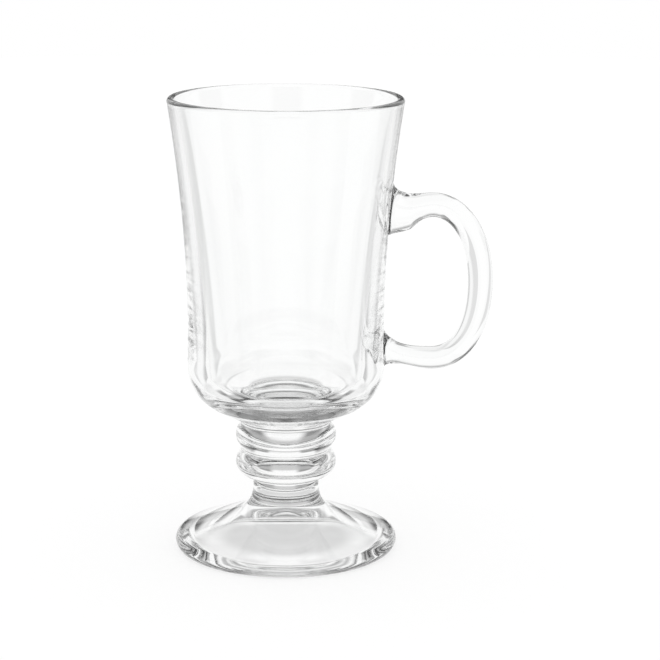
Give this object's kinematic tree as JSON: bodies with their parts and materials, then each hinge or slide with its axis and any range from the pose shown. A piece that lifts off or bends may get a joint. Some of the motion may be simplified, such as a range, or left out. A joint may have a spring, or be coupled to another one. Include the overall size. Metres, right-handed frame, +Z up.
{
  "type": "footed glass coffee mug",
  "caption": "Clear glass coffee mug with a flared bowl on a ringed stem and a round foot, and a looped side handle; holds a hot layered drink.",
  "frame": {"origin": "on the table, under the middle of the mug's outline with its handle", "axes": "+Z up along the mug's axis, +X towards the handle, +Y across the handle"},
  "size_m": [0.1042, 0.0754, 0.148],
  "materials": {
    "bowl_glass": "clear, fire-polished",
    "stem_glass": "clear, fire-polished",
    "foot_glass": "clear, pressed",
    "handle_glass": "clear, pressed"
  },
  "bodies": {
    "root": {"bowl": "bowl_glass", "upper_knop": "stem_glass", "lower_knop": "stem_glass", "stem": "stem_glass", "foot": "foot_glass", "handle": "handle_glass"}
  },
  "joints": []
}
